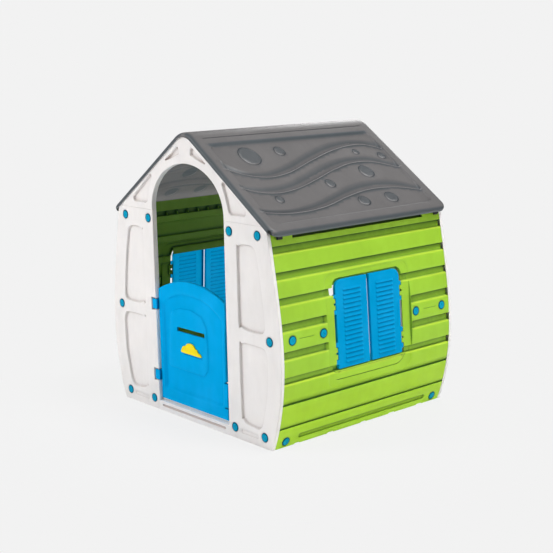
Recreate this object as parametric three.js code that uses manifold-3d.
// Children's plastic playhouse: two arched gables, two curved plank walls with louvred
// shutters, a two-panel roof, a half-height door and round-headed plastic bolts.
// Units are millimetres, +Z up, front gable towards -Y, right wall towards +X, origin on the
// ground under the centre of the house. Pieces are built for the front gable and the right
// wall; the back and left ones are the same bodies turned half a turn about Z.
import * as THREE from 'three';
import { mergeVertices } from 'three/addons/utils/BufferGeometryUtils.js';
import Module from 'manifold-3d';

const wasm = await Module();
wasm.setup();

// ---------------------------------------------------------------- driving dimensions
const SKIN = 3;                 // moulded wall thickness
const GAP = 0.4;                // clearance between touching mouldings
const OVERCUT = 1;              // how far a cutter passes the face it cuts
const FRONT_Y = -445;           // outside face of the front gable
const WALL_END_Y = 430.5;       // where the plank wall ends behind the post
const SEAM_Z = 790;             // joint between posts and arch
const PITCH = 0.70;             // roof fall per unit of x
const SLOPE = Math.atan(PITCH);
const OPEN_HALF = 216.5;        // half width of the doorway
const REVEAL = 20;              // depth of the doorway return
const SILL_TOP = 37;
// layer just behind the gable skin, where tabs of the next moulding lie
const TAB_Y = [FRONT_Y + SKIN + GAP, FRONT_Y + 2 * SKIN + GAP];

// side of the house: height, half width
const PROFILE = [
  [0, 452], [50, 470], [105, 485.5], [190, 501.5], [300, 510],
  [400, 506], [490, 496], [590, 480.5], [690, 463], [790, 443],
];
function halfWidth(z) {
  const upper = Math.max(1, PROFILE.findIndex(([height]) => z <= height));
  const [z0, x0] = PROFILE[upper - 1], [z1, x1] = PROFILE[upper];
  return x0 + (x1 - x0) * (z - z0) / (z1 - z0);
}

const WHITE = { color: '#ece8e4', roughness: 0.5, metalness: 0 };
const GREEN = { color: '#9bc837', roughness: 0.42, metalness: 0 };
const BLUE = { color: '#0391cd', roughness: 0.4, metalness: 0 };
const GREY = { color: '#6b6b6f', roughness: 0.6, metalness: 0 };
const YELLOW = { color: '#e6d428', roughness: 0.4, metalness: 0 };

// ---------------------------------------------------------------- outlines
const mirrorX = (points) => points.map(([x, z]) => [-x, z]);
const ccw = (points) => {
  const doubleArea = points.reduce((sum, [x, y], i) => {
    const [nextX, nextY] = points[(i + 1) % points.length];
    return sum + x * nextY - nextX * y;
  }, 0);
  return doubleArea < 0 ? [...points].reverse() : points;
};

// Moves a corner off its outline, to the right of the direction of travel. At the end of
// an open line the missing neighbour is the corner itself. minTurn limits sharp corners.
function offsetCorner(before, corner, after, distance, minTurn) {
  const arriving = new THREE.Vector2(corner[0] - before[0], corner[1] - before[1]);
  const leaving = new THREE.Vector2(after[0] - corner[0], after[1] - corner[1]);
  if (!arriving.length()) arriving.copy(leaving);
  if (!leaving.length()) leaving.copy(arriving);
  const [normalIn, normalOut] = [arriving, leaving].map((edge) => {
    edge.normalize();
    return new THREE.Vector2(edge.y, -edge.x);
  });
  const reach = distance / Math.max(minTurn, 1 + normalIn.dot(normalOut));
  return [corner[0] + (normalIn.x + normalOut.x) * reach,
    corner[1] + (normalIn.y + normalOut.y) * reach];
}
// closed, roughly convex outline grown by a distance
function grow(points, distance) {
  const loop = ccw(points), count = loop.length;
  return loop.map((corner, i) => offsetCorner(
    loop[(i + count - 1) % count], corner, loop[(i + 1) % count], distance, 0.35));
}

const quarterArc = (centreX, centreY, radiusX, radiusY, startDegrees, steps) =>
  Array.from({ length: steps + 1 }, (_, i) => {
    const angle = (startDegrees + 90 * i / steps) * Math.PI / 180;
    return [centreX + radiusX * Math.cos(angle), centreY + radiusY * Math.sin(angle)];
  });
const roundedRect = ([x0, x1], [z0, z1], radius, steps) => [
  [x1 - radius, z0 + radius, -90], [x1 - radius, z1 - radius, 0],
  [x0 + radius, z1 - radius, 90], [x0 + radius, z0 + radius, 180],
].flatMap(([x, z, start]) => quarterArc(x, z, radius, radius, start, steps));

// points on the side of the house at given heights, moved inward
const sideLine = (heights, inset) => heights.map((z) => [halfWidth(z) - inset, z]);
const heightsBetween = (z0, z1) =>
  [z0, ...PROFILE.map(([z]) => z).filter((z) => z > z0 + 1 && z < z1 - 1), z1];
// strip that follows the side of the house between two inward offsets
const sideStrip = (z0, z1, outerInset, innerInset) => {
  const heights = heightsBetween(z0, z1);
  return [...sideLine(heights, outerInset), ...sideLine(heights, innerInset).reverse()];
};

// ---------------------------------------------------------------- solids
// A range is [low, high]; sided() makes one on the + or - side of an axis.
const sided = (side, near, far) => [side * near, side * far].sort((a, b) => a - b);
const around = (centre, half) => [centre - half, centre + half];
const middle = ([low, high]) => (low + high) / 2;
const length = ([low, high]) => high - low;

const solid = (geometry) => {
  geometry.deleteAttribute('normal');
  geometry.deleteAttribute('uv');
  const merged = mergeVertices(geometry, 1e-4);
  return new wasm.Manifold(new wasm.Mesh({
    numProp: 3,
    vertProperties: Float32Array.from(merged.attributes.position.array),
    triVerts: Uint32Array.from(merged.index.array),
  }));
};
const toGeometry = (body) => {
  const { vertProperties, triVerts } = body.asOriginal().simplify(0.001).getMesh();
  const geometry = new THREE.BufferGeometry();
  const positions = Float32Array.from(vertProperties);
  geometry.setAttribute('position', new THREE.BufferAttribute(positions, 3));
  geometry.setIndex(new THREE.BufferAttribute(Uint32Array.from(triVerts), 1));
  geometry.computeVertexNormals();
  return geometry;
};
const joinAll = (bodies) => bodies.reduce((whole, body) => whole.add(body));
const cutAll = (base, cutters) => cutters.reduce((rest, cutter) => rest.subtract(cutter), base);

const prism = (points, depth) => new THREE.ExtrudeGeometry(
  new THREE.Shape(ccw(points).map(([x, y]) => new THREE.Vector2(x, y))),
  { depth, bevelEnabled: false, steps: 1 });
// prisms of an outline: (x, z) along Y, (y, z) along X, (x, y) along Z
const alongY = (points, range) => solid(
  prism(points, length(range)).rotateX(Math.PI / 2).translate(0, range[1], 0));
const YZ_TO_X = new THREE.Matrix4().makeBasis(
  new THREE.Vector3(0, 1, 0), new THREE.Vector3(0, 0, 1), new THREE.Vector3(1, 0, 0));
const alongX = (points, range) => solid(
  prism(points, length(range)).applyMatrix4(YZ_TO_X).translate(range[0], 0, 0));
const alongZ = (points, range) => solid(prism(points, length(range)).translate(0, 0, range[0]));
const block = (...ranges) => new THREE.BoxGeometry(...ranges.map(length))
  .translate(...ranges.map(middle));
const box = (xRange, yRange, zRange) => solid(block(xRange, yRange, zRange));
// cylinder about +Y, centred
const round = (radius, height, sides) =>
  new THREE.CylinderGeometry(radius, radius, height, sides);
const rodY = (radius, x, z, range, sides) => solid(
  round(radius, length(range), sides).translate(x, middle(range), z));
const rodZ = (radius, x, y, range, sides) => solid(
  round(radius, length(range), sides).rotateX(Math.PI / 2).translate(x, y, middle(range)));

// ---------------------------------------------------------------- bolts and their holes
const BOLT = { headRadius: 17, headHeight: 2.4, headSides: 14, shankRadius: 6, shankSides: 8 };
const GABLE_SHANK = 19, SIDE_SHANK = 14;
const BOLT_HOLE_R = 6.6;
// right half of the front gable
const GABLE_BOLTS = {
  top_inner: [245, 756],
  top_outer: [398, 756],
  middle: [451, 392],
  foot_inner: [251, 40],
  foot_outer: [415, 40],
};
const TOP_BOLTS = [GABLE_BOLTS.top_inner, GABLE_BOLTS.top_outer];
const WALL_END_BOLTS = [GABLE_BOLTS.top_outer, GABLE_BOLTS.middle, GABLE_BOLTS.foot_outer];
// right wall, at +y and -y; direction points outward
const OUTWARD = new THREE.Vector3(1, 0, 0);
const SIDE_BOLTS = [
  { tag: 'middle_outer', y: 388, z: 397, x: halfWidth(385) + GAP, direction: OUTWARD },
  { tag: 'middle_inner', y: 241, z: 397, x: halfWidth(385) + GAP, direction: OUTWARD },
  { tag: 'foot', y: 387, z: 23, x: halfWidth(23) + 0.5,
    direction: new THREE.Vector3(50, 0, -18).normalize() },
];

const aimed = (geometry, direction, position) => solid(geometry
  .applyQuaternion(new THREE.Quaternion().setFromUnitVectors(new THREE.Vector3(0, 1, 0), direction))
  .translate(...position));
function bolt(direction, position, shank) {
  const overlap = 1;            // shank carried up into the head
  const head = round(BOLT.headRadius, BOLT.headHeight, BOLT.headSides)
    .translate(0, BOLT.headHeight / 2, 0);
  const stem = round(BOLT.shankRadius, shank + overlap, BOLT.shankSides)
    .translate(0, (overlap - shank) / 2, 0);
  return aimed(head, direction, position).add(aimed(stem, direction, position));
}
const gableBoltHoles = (places, side = 1) => places.map(([x, z]) =>
  rodY(BOLT_HOLE_R, side * x, z, [FRONT_Y - 5, FRONT_Y + 22], BOLT.shankSides));
const sideBoltHoles = (ends) => ends.flatMap((end) => SIDE_BOLTS.map(({ x, y, z, direction }) =>
  aimed(round(BOLT_HOLE_R, 40, BOLT.shankSides), direction, [x, end * y, z])));

// ---------------------------------------------------------------- pressed panels
// Outlines (x, z) of the panels pressed into the right half of the gable.
const PAN_DEPTH = 8;
const UPPER_PAN = [
  [284, 690], [292, 709], [312, 717], [360, 717], [380, 706], [390, 685], [405, 612],
  [419, 520], [427, 445], [423, 425], [405, 412], [336, 411], [300, 420], [285, 438],
];
const LOWER_PAN = [
  [286, 345], [300, 361], [320, 366], [410, 364], [428, 354], [437, 333], [438.5, 299],
  [436.5, 245], [432, 190], [420, 135], [406, 84], [390, 65], [370, 61.5], [315, 68],
  [297, 82], [289, 104],
];
const ARCH_PAN_TOP = [[33, 1009], [36, 1034], [45, 1038], [122, 985], [119, 981.5], [80, 992]];
const ARCH_PAN_LOW = [
  [211, 917], [216, 928], [224, 925], [340, 833], [339, 820], [331, 814], [257, 812.5],
  [245, 821], [233, 862],
];
const panBlock = (outline) => alongY(grow(outline, SKIN), [FRONT_Y, FRONT_Y + PAN_DEPTH + SKIN]);
const panCut = (outline) => alongY(outline, [FRONT_Y - OVERCUT, FRONT_Y + PAN_DEPTH]);
// shallow groove in the front face
const GROOVE_Y = [FRONT_Y - OVERCUT, FRONT_Y + 1.5];

// ---------------------------------------------------------------- door hinge
const PIN_X = -227.5, PIN_Y = -434.5;     // hinge axis
const CLIP_Z = [[121, 159], [404, 442]];  // door clips
const NOTCH_Z = CLIP_Z.map(([low, high]) => [low - 5, high + 5]);  // notches in the post

function addHinges(body) {
  const cheek = 8;              // height of the blocks above and below a notch
  const cheekBox = (zRange) => box(
    [OPEN_HALF + 1, OPEN_HALF + 19], [FRONT_Y + 1, FRONT_Y + 16], zRange);
  for (const [low, high] of NOTCH_Z) {
    const notch = box([OPEN_HALF - OVERCUT, OPEN_HALF + 29],
      [FRONT_Y - OVERCUT, FRONT_Y + REVEAL + OVERCUT], [low, high]);
    body = joinAll([
      body.subtract(notch),
      cheekBox([high, high + cheek]),
      cheekBox([low - cheek, low]),
      rodZ(4.5, -PIN_X, PIN_Y, [low - 4, high + 4], 12),
    ]);
  }
  return body;
}

// ---------------------------------------------------------------- post, front right
const POST_TOP = SEAM_Z - 0.5;
const POST_FOOT_X = 220;        // inner edge beside the sill
const REVEAL_FOOT = SILL_TOP + 0.8;
const POST_BACK_Y = -WALL_END_Y - 0.5;
const TONGUE_Y = -434;          // front of the tongues
const TONGUE_Z = [372, 420];    // upper tongue

function post(hinged) {
  const plate = alongY([
    [POST_FOOT_X, 0], ...sideLine(heightsBetween(0, POST_TOP), 0),
    [OPEN_HALF, POST_TOP], [OPEN_HALF, REVEAL_FOOT], [POST_FOOT_X, REVEAL_FOOT],
  ], [FRONT_Y, FRONT_Y + SKIN]);
  const side = alongY(sideStrip(0, POST_TOP, 0, SKIN), [FRONT_Y, POST_BACK_Y]);
  const reveal = box(
    [OPEN_HALF, OPEN_HALF + SKIN], [FRONT_Y, FRONT_Y + REVEAL], [REVEAL_FOOT, POST_TOP]);
  const foot = box([222, 445], [FRONT_Y, FRONT_Y + 13.5], [0, SKIN]);
  // tongues that run behind the plank wall and take its side bolts
  const upperTongue = joinAll([
    alongY(sideStrip(...TONGUE_Z, 4.6, 7.6), [TONGUE_Y, -225]),
    alongY(sideStrip(...TONGUE_Z, 0.5, 7.6), [TONGUE_Y, POST_BACK_Y]),
  ]);
  const footTongue = joinAll([
    alongY(sideStrip(4, 46, 5, 8), [TONGUE_Y, -362]),
    alongY(sideStrip(4, 46, 0.5, 8), [TONGUE_Y, POST_BACK_Y]),
  ]);
  const pans = [UPPER_PAN, LOWER_PAN];
  const body = cutAll(
    joinAll([plate, side, reveal, foot, upperTongue, footTongue, ...pans.map(panBlock)]), [
      ...pans.map(panCut),
      ...gableBoltHoles(Object.values(GABLE_BOLTS)),
      alongY(roundedRect([286, 382], [25, 41], 7, 2), GROOVE_Y),
      ...sideBoltHoles([-1]),
    ]);
  return hinged ? addHinges(body) : body;
}

// ---------------------------------------------------------------- arch
const ARCH_Z = 800;             // centre height of the arch ellipse
const ARCH_RISE = 177;
const ARCH_STEPS = 16;
const GABLE_LINE = 1098;        // height where the two edges under the roof would meet
const TIP_R = 75;               // rounding of the gable tip
const ARCH_TAB = { x: [224, 420], bottom: 727, top: SEAM_Z + 10 };

// doorway head grown outward, with straight sides down to footZ
function doorwayHead(outset, footZ) {
  const half = OPEN_HALF + outset, rise = ARCH_RISE + outset;
  const curve = Array.from({ length: ARCH_STEPS + 1 }, (_, i) => {
    const angle = Math.PI * i / ARCH_STEPS;
    return [half * Math.cos(angle), ARCH_Z + rise * Math.sin(angle)];
  });
  return [[half, footZ], ...curve, [-half, footZ]];
}
function arch() {
  const tipCentre = GABLE_LINE - TIP_R / Math.cos(SLOPE);
  const cornerX = (GABLE_LINE - SEAM_Z) / PITCH - 1;
  const tip = [1, 0.5, 0, -0.5, -1].map((turn) => [
    TIP_R * Math.sin(turn * SLOPE), tipCentre + TIP_R * Math.cos(turn * SLOPE)]);
  const plate = alongY([[cornerX, SEAM_Z], ...tip, [-cornerX, SEAM_Z]],
    [FRONT_Y, FRONT_Y + SKIN]);
  const reveal = alongY(doorwayHead(SKIN, SEAM_Z), [FRONT_Y, FRONT_Y + REVEAL]);
  const opening = alongY(doorwayHead(0, SEAM_Z - 5),
    [FRONT_Y - OVERCUT, FRONT_Y + REVEAL + OVERCUT]);
  // tabs that hang behind the posts, each with a thicker root above the seam
  const tabs = [1, -1].flatMap((side) => {
    const xRange = sided(side, ...ARCH_TAB.x);
    return [
      box(xRange, TAB_Y, [ARCH_TAB.bottom, ARCH_TAB.top]),
      box(xRange, [FRONT_Y + 1, TAB_Y[1]], [SEAM_Z, ARCH_TAB.top]),
    ];
  });
  const pans = [ARCH_PAN_TOP, ARCH_PAN_LOW].flatMap((outline) => [outline, mirrorX(outline)]);
  return cutAll(joinAll([plate, reveal, ...tabs, ...pans.map(panBlock)]), [
    opening, ...pans.map(panCut), ...gableBoltHoles(TOP_BOLTS), ...gableBoltHoles(TOP_BOLTS, -1)]);
}

// ---------------------------------------------------------------- sill
const SILL_DEPTH = 30;
const SILL_HALF = OPEN_HALF + SKIN;
const SILL_TAB = { bottom: 14, lowTop: SILL_TOP - 0.5, highTop: 59, outerX: 276 };

function sill() {
  const backY = FRONT_Y + SILL_DEPTH, width = [-SILL_HALF, SILL_HALF];
  const parts = [
    box(width, [FRONT_Y, FRONT_Y + SKIN], [0, SILL_TOP]),
    box(width, [FRONT_Y, backY], [SILL_TOP - SKIN, SILL_TOP]),
    box(width, [backY - SKIN, backY], [12, SILL_TOP]),
  ];
  // a tab at each end reaches behind the post
  const { bottom, lowTop, highTop, outerX } = SILL_TAB;
  for (const side of [1, -1]) {
    parts.push(
      box(sided(side, 190, SILL_HALF), [FRONT_Y + 1, TAB_Y[1]], [bottom, lowTop]),
      box(sided(side, 218, outerX), TAB_Y, [bottom, lowTop]),
      box(sided(side, 223, outerX), TAB_Y, [bottom, highTop]));
  }
  const bolts = [GABLE_BOLTS.foot_inner];
  return cutAll(joinAll(parts), [
    alongY(roundedRect([-196, 196], [17, 27], 4, 1), GROOVE_Y),
    ...gableBoltHoles(bolts), ...gableBoltHoles(bolts, -1)]);
}

// ---------------------------------------------------------------- shutter frame of reference
// Local x runs along the right wall (+Y), y up it, z out of it.
const SHUTTER_TILT = Math.atan(20.5 / 321);
const SHUTTER_C = [496.75, 0, 411.5];   // point on the outside face of the shutters
const SHUTTER_FRAME = new THREE.Matrix4().makeBasis(
  new THREE.Vector3(0, 1, 0),
  new THREE.Vector3(-Math.sin(SHUTTER_TILT), 0, Math.cos(SHUTTER_TILT)),
  new THREE.Vector3(Math.cos(SHUTTER_TILT), 0, Math.sin(SHUTTER_TILT)))
  .setPosition(...SHUTTER_C);
const onWall = (geometry) => solid(geometry.applyMatrix4(SHUTTER_FRAME));
const wallBox = (...ranges) => onWall(block(...ranges));

// hinge of the shutters
const SHUTTER_PIN = 171;        // local x of the axis
const LUG_Z = [-9, 0];          // local z of the blocks at the hinge
const HINGE_R = 4.3;
const KNUCKLES = [[-124.5, -82.5], [55.5, 94.5]];                       // on the wall, local y
const LUGS = [[-144, -126.5], [-80.5, -63.5], [37.5, 53.5], [96.5, 110.5]];  // on the shutter
const hingeRod = (radius, side, range, sides) => onWall(
  round(radius, length(range), sides).translate(side * SHUTTER_PIN, middle(range), -4.5));

// ---------------------------------------------------------------- plank wall, right
// top and bottom height of each plank, depth of the groove under it
const PLANKS = [
  [785, 722, 13], [695, 634, 13], [607, 547, 13], [520, 459, 13], [430, 362, 13],
  [333, 271, 13], [245, 168, 8], [154, 76, 4], [70, 0, 0],
];
const JAMB_EDGE = 176, JAMB_OUT = 217.5;
// heights where the outer edge of the end flange follows the wall
const FLANGE_Z = [0, 76, 168, 300, 430, 560, 660, 785];
// half of the window outline, y and z
const WINDOW_HALF = [
  [186, 247.5], [186, 270.5], [214.5, 270.5], [214.5, 520], [184, 520], [184, 546.5],
  [178, 546.5], [177, 557], [171, 568], [162, 575.5], [150, 578],
];
const FOOT_SLOT = [
  [halfWidth(0) - 5, -1], [halfWidth(50) - 4.2, 50],
  [halfWidth(50) - 9, 50], [halfWidth(0) - 9.7, -1],
];

function wallSection() {
  const outer = PLANKS.flatMap(([top, bottom, depth], i) => {
    const face = sideLine([top, bottom], 0);
    if (!depth) return face;
    const next = PLANKS[i + 1][0];
    return [...face, [halfWidth(bottom) - depth, bottom - 1],
      [halfWidth(next) - depth * 0.7, next + Math.min(4, (bottom - next) / 3)]];
  });
  const last = outer.length - 1;
  const inner = outer.map((corner, i) => offsetCorner(
    outer[Math.max(0, i - 1)], corner, outer[Math.min(last, i + 1)], SKIN, 0.5));
  inner[0][1] = outer[0][1];
  inner[last][1] = 0;
  return [...outer, ...inner.reverse()];
}
// flange, jamb and hinge knuckles at one end of the wall
function wallEndParts(side) {
  const flange = alongY([...sideLine(FLANGE_Z, 1), ...sideLine([785, 392, 0], 75)],
    sided(side, WALL_END_Y - SKIN, WALL_END_Y));
  // web that closes the planks beside the flat jamb
  const jambBack = [520, 270].map((z) =>
    [SHUTTER_C[0] - (z - SHUTTER_C[2]) * Math.tan(SHUTTER_TILT) - SKIN, z]);
  const web = alongY([...sideLine([270, 300, 400, 520], 1), ...jambBack],
    sided(side, JAMB_OUT - SKIN, JAMB_OUT));
  const jamb = wallBox(sided(side, JAMB_EDGE, JAMB_OUT - 1), [-141, 108], [-SKIN, 0]);
  const knuckles = KNUCKLES.flatMap((range) => [
    wallBox(sided(side, SHUTTER_PIN, JAMB_EDGE + 9), range, LUG_Z),
    hingeRod(HINGE_R, side, range, 8),
  ]);
  return [flange, web, jamb, ...knuckles];
}
// knuckle bores, tongue slots and bolt holes at one end of the wall
function wallEndCuts(side) {
  const slotY = sided(side, WALL_END_Y - SKIN - OVERCUT, WALL_END_Y + OVERCUT);
  const boltY = sided(side, WALL_END_Y - SKIN - 3, WALL_END_Y + 3);
  return [
    ...KNUCKLES.map(([low, high]) => hingeRod(3, side, [low - OVERCUT, high + OVERCUT], 6)),
    alongY(sideStrip(TONGUE_Z[0] - 2, TONGUE_Z[1] + 2, 4, 8.4), slotY),
    alongY(FOOT_SLOT, slotY),
    ...WALL_END_BOLTS.map(([x, z]) => rodY(BOLT_HOLE_R, x, z, boltY, BOLT.shankSides)),
  ];
}
function sideWall() {
  const skin = alongY(wallSection(), [-WALL_END_Y, WALL_END_Y])
    .subtract(alongX([...WINDOW_HALF, ...mirrorX(WINDOW_HALF).reverse()], [400, 560]));
  // stops behind the heads and feet of the shutters, and the returns above and below them
  const stops = [
    box([466.5, 466.5 + SKIN], [-172, 172], [552, 580.5]),
    box([466.5, halfWidth(579) - 1], [-172, 172], [577.8, 580.8]),
    box([478, halfWidth(246) - 1.5], [-199, 199], [243, 246]),
    box([486, 486 + SKIN], [-186, 186], [244, 272]),
  ];
  return cutAll(joinAll([skin, ...[1, -1].flatMap(wallEndParts), ...stops]),
    [...[1, -1].flatMap(wallEndCuts), ...sideBoltHoles([-1, 1])]);
}

// ---------------------------------------------------------------- shutter, right wall
const SHUTTER_IN = 5.5, SHUTTER_OUT = 165.8;   // edges, local x
const SHUTTER_HALF = 160.8;                    // half height
const SHUTTER_T = 12;
const SHUTTER_CORNER = 32;
// louvre centres, local y
const LOUVRES = Array.from({ length: 17 }, (_, k) => -138.5 + 16.4 * k);

// side is -1 for the front shutter, +1 for the back one
function shutter(side) {
  const outline = (inset) => {
    const near = SHUTTER_IN + inset, far = SHUTTER_OUT - inset;
    const top = SHUTTER_HALF - inset, radius = SHUTTER_CORNER - inset;
    const points = [
      [near, -top], [far - 4, -top], [far, -top + 4],
      ...quarterArc(far - radius, top - radius, radius, radius, 0, 2), [near, top],
    ];
    return points.map(([x, y]) => [side * x, y]);
  };
  const plate = onWall(prism(outline(0), SHUTTER_T).translate(0, 0, -SHUTTER_T));
  const hollow = onWall(prism(outline(SKIN), SHUTTER_T).translate(0, 0, -SHUTTER_T - SKIN));
  const slats = LOUVRES.map((y) =>
    wallBox(sided(side, 38, 131), [y - 4.6, y + 1.6], [-1.5, 3.6]));
  const lugs = LUGS.flatMap((range) => [
    wallBox(sided(side, SHUTTER_PIN, SHUTTER_OUT - 1), range, LUG_Z),
    hingeRod(HINGE_R, side, range, 8),
  ]);
  // stub pins that enter both ends of each knuckle
  const pins = KNUCKLES.flatMap(([low, high]) => [[low - 4, low + 9], [high - 9, high + 4]])
    .map((range) => hingeRod(2.2, side, range, 6));
  return joinAll([plate.subtract(hollow), ...slats, ...lugs, ...pins]);
}

// ---------------------------------------------------------------- roof panel, right side
const RIDGE_Z = 1090;           // overall height
const ROOF_LINE = 1110.8;       // height where the roof planes would meet
const RIDGE_R = (ROOF_LINE - RIDGE_Z) / (1 / Math.cos(SLOPE) - 1);
const ROOF_HALF_Y = 450;        // overall depth / 2
const EAVE_X = 486.6;           // outer edge of the roof
const RIM = 17;                 // depth of the roof rim
const RIDGE_XS = [0.3, 14, 28, 41, 54];   // stations across the rounded ridge
const EAVE_CORNER = 40;         // corner rounding along y
const ROOF_CUT_Z = [600, 1200]; // tall enough to pass right through the roof

// height of the roof surface, or of the surface a depth below it along the normal
function roofTop(x, depth = 0) {
  const centre = ROOF_LINE - RIDGE_R / Math.cos(SLOPE), radius = RIDGE_R - depth;
  return Math.abs(x) < radius * Math.sin(SLOPE)
    ? centre + Math.sqrt(radius * radius - x * x)
    : ROOF_LINE - depth / Math.cos(SLOPE) - PITCH * Math.abs(x);
}
const roofLine = (xs, depth, drop = 0) => xs.map((x) => [x, roofTop(x, depth) - drop]);
// point square to the slope from the surface at x
const underRoof = (x, inward, down = inward) =>
  [x - inward * Math.sin(SLOPE), roofTop(x) - down * Math.cos(SLOPE)];

function eavePlan() {           // seen from above
  const radiusX = EAVE_CORNER * 0.82, cornerY = ROOF_HALF_Y - EAVE_CORNER;
  const corner = (y, start) =>
    quarterArc(EAVE_X - radiusX, y, radiusX, EAVE_CORNER, start, 4);
  return [[-40, -ROOF_HALF_Y], ...corner(-cornerY, -90), ...corner(cornerY, 0),
    [-40, ROOF_HALF_Y]];
}
function roofPanel() {
  const blank = alongY([
    ...roofLine(RIDGE_XS, 0), underRoof(EAVE_X, 0), underRoof(EAVE_X, RIM),
    ...roofLine(RIDGE_XS, RIM).reverse(),
  ], [-ROOF_HALF_Y, ROOF_HALF_Y]);
  const skinX = SKIN / Math.cos(SLOPE), hollowX = EAVE_X - skinX;
  const below = 8;              // the hollow runs out under the rim
  const hollow = alongY([
    [-5, roofTop(0, SKIN)], ...roofLine([...RIDGE_XS, EAVE_X - 6 * skinX], SKIN),
    underRoof(hollowX, SKIN, SKIN * 1.2), underRoof(hollowX, 22),
    ...roofLine(RIDGE_XS, RIM, below).reverse(), [-5, roofTop(0, RIM) - below],
  ], [-ROOF_HALF_Y + SKIN, ROOF_HALF_Y - SKIN]);
  // keeps a skin round the eave corners
  const plan = eavePlan();
  const cornerFill = blank.subtract(alongZ(grow(plan, -SKIN), ROOF_CUT_Z))
    .intersect(box([EAVE_X - 60, EAVE_X + 5], [-500, 500], ROOF_CUT_Z));
  const shell = blank.subtract(hollow).add(cornerFill).intersect(alongZ(plan, ROOF_CUT_Z));
  // ridge tab that slides under the other panel
  const ridgeTab = alongY([
    ...roofLine([-26, -13, 0.3], SKIN + GAP),
    ...roofLine([0.3, 11, 22], SKIN - 0.6),
    ...roofLine([22, 11, 0, -13, -26], 2 * SKIN + GAP),
  ], [60, 210]);
  // hooks that drop outside the head of the plank wall
  const hooks = [-400, 400].map((y) => alongY(
    [[457, 744], [467, 744], ...roofLine([467, 457], 1.5)], around(y, 8)));
  return joinAll([shell, ridgeTab, ...hooks]);
}

// ---------------------------------------------------------------- door
const DOOR_LEFT = -212, DOOR_RIGHT = 198;
const DOOR_BOTTOM = 47, DOOR_SHOULDER = 484, DOOR_TOP = 534;
const DOOR_FRONT = -435, DOOR_T = 12;
const DOOR_BACK = DOOR_FRONT + DOOR_T;
const DOOR_STEPS = 12;          // steps of the curved top
const CLIP_R = 10.5;
const PEG_XS = [-41, 17], PEG_Z = 276;    // pegs of the cloud plaque

function doorOutline(inset) {
  const centreX = (DOOR_LEFT + DOOR_RIGHT) / 2, half = (DOOR_RIGHT - DOOR_LEFT) / 2;
  const rise = DOOR_TOP - DOOR_SHOULDER;
  const fullRadius = (half * half + rise * rise) / (2 * rise), radius = fullRadius - inset;
  const sweep = Math.asin((half - inset) / radius);
  const top = Array.from({ length: DOOR_STEPS + 1 }, (_, i) => {
    const angle = sweep - 2 * sweep * i / DOOR_STEPS;
    return [centreX + radius * Math.sin(angle),
      DOOR_TOP - fullRadius + radius * Math.cos(angle)];
  });
  return [[DOOR_LEFT + inset, DOOR_BOTTOM + inset],
    [DOOR_RIGHT - inset, DOOR_BOTTOM + inset], ...top];
}
// snap clip round the hinge pin, with its mouth towards the back left
function doorClip([low, high]) {
  const range = [low, high], cutRange = [low - OVERCUT, high + OVERCUT];
  const arm = alongZ([
    [PIN_X - CLIP_R, PIN_Y + 1], [PIN_X - CLIP_R, PIN_Y - 8.5],
    [PIN_X - 8.5, PIN_Y - CLIP_R], [DOOR_LEFT + 0.4, PIN_Y - CLIP_R],
    [DOOR_LEFT + 1, PIN_Y - 9.9], [DOOR_LEFT + 1, PIN_Y + 1],
  ], range);
  const mouth = alongZ([
    [PIN_X, PIN_Y], [PIN_X - 3, PIN_Y + 14], [PIN_X - 14, PIN_Y + 14], [PIN_X - 14, PIN_Y + 3],
  ], cutRange);
  return rodZ(CLIP_R, PIN_X, PIN_Y, range, 12)
    .add(box([PIN_X + 5, DOOR_LEFT + 4], [PIN_Y + 4, DOOR_BACK - 1], range))
    .add(arm)
    .subtract(rodZ(5.4, PIN_X, PIN_Y, cutRange, 12))
    .subtract(mouth);
}
function door() {
  const shell = alongY(doorOutline(0), [DOOR_FRONT, DOOR_BACK]).subtract(
    alongY(doorOutline(SKIN), [DOOR_FRONT + SKIN, DOOR_BACK + OVERCUT]));
  // letter slot with a lip
  const lip = alongY(roundedRect([-104, 72], [331, 354], 4, 1), [DOOR_FRONT, DOOR_BACK - 2]);
  const slot = alongY(roundedRect([-101, 69], [334, 351], 3, 1),
    [DOOR_FRONT - OVERCUT, DOOR_BACK + OVERCUT]);
  const pegHoles = PEG_XS.map((x) =>
    rodY(3.1, x, PEG_Z, [DOOR_FRONT - OVERCUT, DOOR_FRONT + SKIN + OVERCUT], 8));
  return joinAll([cutAll(shell.add(lip), [slot, ...pegHoles]), ...CLIP_Z.map(doorClip)]);
}

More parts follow.
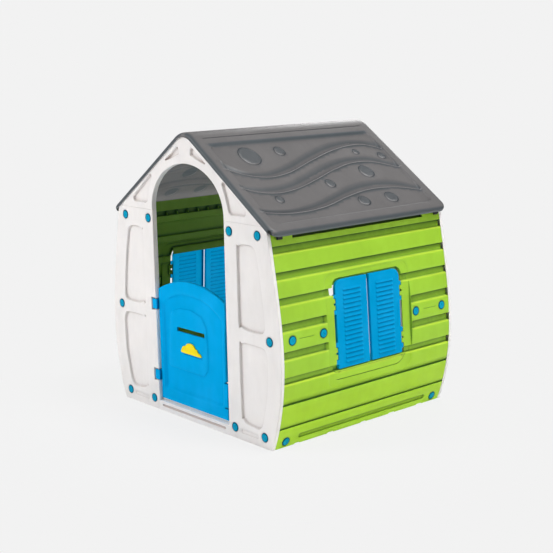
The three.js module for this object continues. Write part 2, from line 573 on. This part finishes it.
const CLOUD = [                 // x, z
  [-70, 258], [48, 258], [50, 264], [42, 270], [31, 272], [27, 281], [15, 284], [9, 293],
  [-5, 299], [-21, 300], [-35, 295], [-45, 287], [-59, 283], [-67, 273],
];
function cloud() {
  const back = DOOR_FRONT - GAP;
  const pegs = PEG_XS.map((x) => rodY(2.5, x, PEG_Z, [back - 1, DOOR_FRONT + SKIN + 3], 8));
  return joinAll([alongY(CLOUD, [back - 3.6, back]), ...pegs]);
}

// ---------------------------------------------------------------- assembly
const house = new THREE.Group();
function add(name, body, look, turned = false) {
  const mesh = new THREE.Mesh(toGeometry(body), new THREE.MeshStandardMaterial(look));
  mesh.name = name;
  if (turned) mesh.rotation.z = Math.PI;
  house.add(mesh);
}
// the body as built, and again turned to the opposite side of the house
function addPair(name, turnedName, body, look) {
  add(name, body, look);
  add(turnedName, body, look, true);
}

addPair('gable_arch_front', 'gable_arch_back', arch(), WHITE);
addPair('post_front_right', 'post_back_left', post(false), WHITE);
addPair('post_front_left', 'post_back_right', post(true).mirror([1, 0, 0]), WHITE);
addPair('door_sill_front', 'door_sill_back', sill(), WHITE);
addPair('side_wall_right', 'side_wall_left', sideWall(), GREEN);
addPair('roof_panel_right', 'roof_panel_left', roofPanel(), GREY);
addPair('shutter_right_front', 'shutter_left_back', shutter(-1), BLUE);
addPair('shutter_right_back', 'shutter_left_front', shutter(1), BLUE);
add('door_panel', door(), BLUE);
add('door_cloud_plaque', cloud(), YELLOW);

for (const [tag, [x, z]] of Object.entries(GABLE_BOLTS)) {
  for (const [side, here, opposite] of [[1, 'right', 'left'], [-1, 'left', 'right']]) {
    const body = bolt(new THREE.Vector3(0, -1, 0), [side * x, FRONT_Y - GAP, z], GABLE_SHANK);
    addPair(`bolt_front_${here}_${tag}`, `bolt_back_${opposite}_${tag}`, body, BLUE);
  }
}
for (const { tag, x, y, z, direction } of SIDE_BOLTS) {
  for (const [end, here, opposite] of [[1, 'back', 'front'], [-1, 'front', 'back']]) {
    const body = bolt(direction, [x, end * y, z], SIDE_SHANK);
    addPair(`bolt_side_right_${here}_${tag}`, `bolt_side_left_${opposite}_${tag}`, body, BLUE);
  }
}

export default house;
